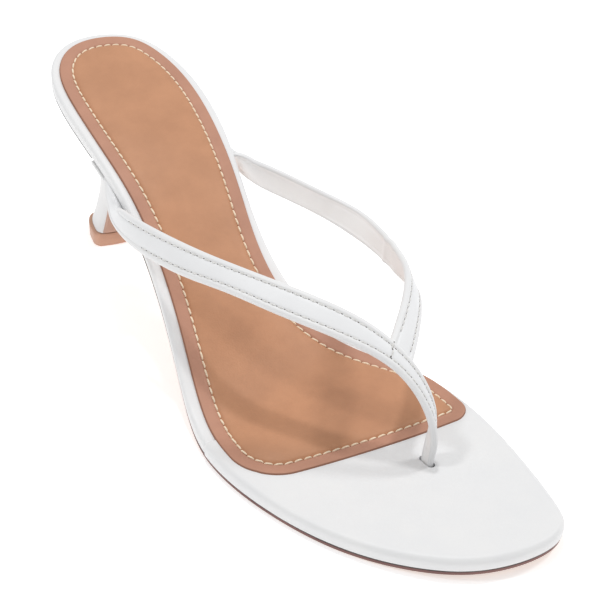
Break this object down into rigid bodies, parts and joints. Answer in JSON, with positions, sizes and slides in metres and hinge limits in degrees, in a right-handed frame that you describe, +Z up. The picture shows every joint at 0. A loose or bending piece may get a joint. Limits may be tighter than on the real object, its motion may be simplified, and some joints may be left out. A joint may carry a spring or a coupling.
{
  "type": "heeled sandal",
  "caption": "Backless thong sandal on a low kitten heel: narrow leather straps cross the instep and run into a toe post, over a padded sock and a thin leather sole.",
  "frame": {"origin": "on the floor, under the middle of the sandal's box", "axes": "+Z up, -Y towards the toe, +X towards the inner (big toe) side of this right shoe"},
  "size_m": [0.0848, 0.236, 0.0707],
  "materials": {
    "white_leather": "smooth, satin",
    "tan_sock": "smooth, matt",
    "tan_leather": "smooth, satin",
    "tan_lift": "matt"
  },
  "bodies": {
    "root": {"outsole": "tan_leather", "footbed": "white_leather", "sock": "tan_sock", "upper": "white_leather", "heel": "white_leather", "heel_breast": "tan_leather", "top_lift": "tan_lift"}
  },
  "joints": []
}
